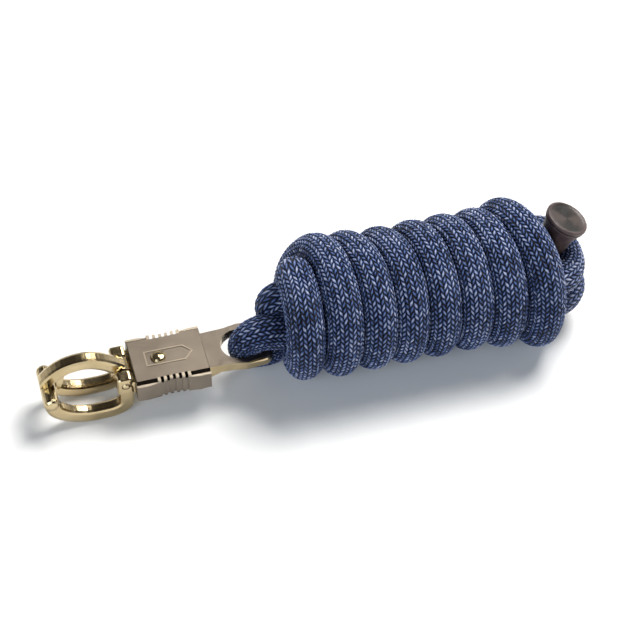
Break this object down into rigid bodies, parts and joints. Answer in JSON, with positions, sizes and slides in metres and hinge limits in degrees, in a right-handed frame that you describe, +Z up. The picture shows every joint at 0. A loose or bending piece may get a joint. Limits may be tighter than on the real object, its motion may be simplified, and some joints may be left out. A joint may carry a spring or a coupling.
{
  "type": "lead rope",
  "caption": "Horse lead rope: a thick braided rope wound into a hank, with a quick-release panic hook at one end and a leather cap on the other.",
  "frame": {"origin": "on the surface the rope lies on, below the middle of the hook", "axes": "+X along the hook from its jaws towards the wound hank, +Y to the far side of the hook, +Z up"},
  "size_m": [0.2658, 0.0664, 0.0662],
  "materials": {
    "plated_brass": "polished pale gold plate",
    "satin_plate": "satin champagne plate",
    "spring_steel": "drawn wire",
    "navy_braid": "braided polypropylene, soft sheen",
    "brown_leather": "smooth stained leather"
  },
  "bodies": {
    "lead": {"hook_body": "plated_brass", "jaw_pin": "plated_brass", "rope_hank": "navy_braid", "rope_left_bight": "navy_braid", "rope_eye_loop": "navy_braid", "rope_lower_bight": "navy_braid", "rope_upper_bight": "navy_braid", "rope_free_end": "navy_braid", "cap_sleeve": "brown_leather", "cap_disc": "brown_leather"},
    "sleeve": {"release_sleeve": "satin_plate", "sleeve_rivet": "plated_brass", "return_spring": "spring_steel"},
    "jaw": {"moving_jaw": "plated_brass"}
  },
  "joints": [
    {"name": "sleeve_slide", "type": "slide", "parent": "lead", "child": "sleeve", "axis": [1, 0, 0], "range_m": [0, 0.009], "stiffness_N_per_m": 900, "springref_m": -0.006, "deforming": ["return_spring"]},
    {"name": "jaw_hinge", "type": "hinge", "parent": "lead", "child": "jaw", "pos_m": [-0.016, 0, 0.0213], "axis": [0, 1, 0], "range_deg": [0, 66]}
  ],
  "couplings": [
    {"joint": "jaw_hinge", "follows": "sleeve_slide", "rad_per_m": 127}
  ]
}
